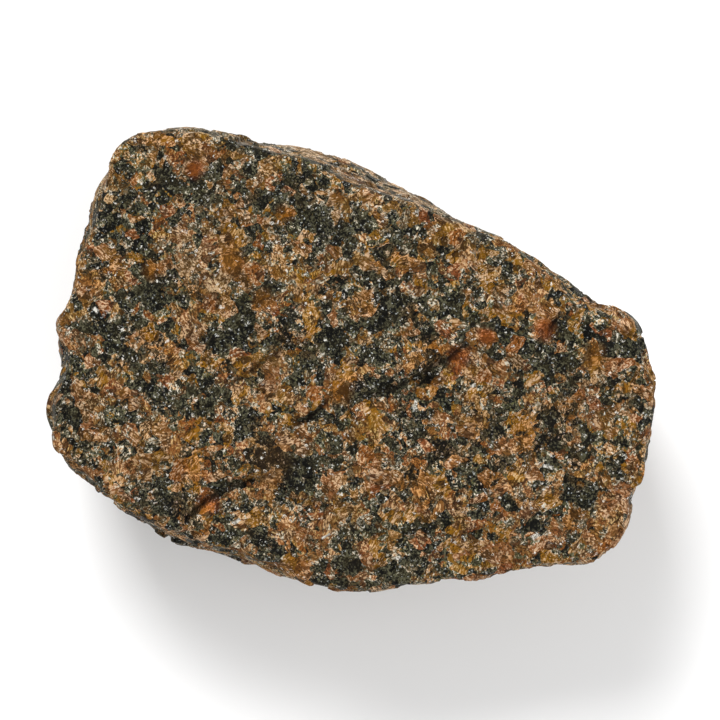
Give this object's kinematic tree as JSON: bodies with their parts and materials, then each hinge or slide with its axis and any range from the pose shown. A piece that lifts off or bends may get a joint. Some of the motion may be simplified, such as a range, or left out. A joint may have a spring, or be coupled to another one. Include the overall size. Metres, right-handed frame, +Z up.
{
  "type": "rough rock",
  "caption": "Rough angular hand specimen of coarse reddish-brown granite with one broad, nearly flat broken face.",
  "frame": {"origin": "middle of the bounding box, on the surface that the stone lies on", "axes": "+X along the length towards the blunt end, +Y towards the long weathered side, +Z up through the broad broken face"},
  "size_m": [0.12, 0.092, 0.052],
  "materials": {
    "granite": "rough broken granite: salmon-brown feldspar, grey quartz and black-green dark minerals, with small glints"
  },
  "bodies": {
    "root": {"granite_stone": "granite"}
  },
  "joints": []
}
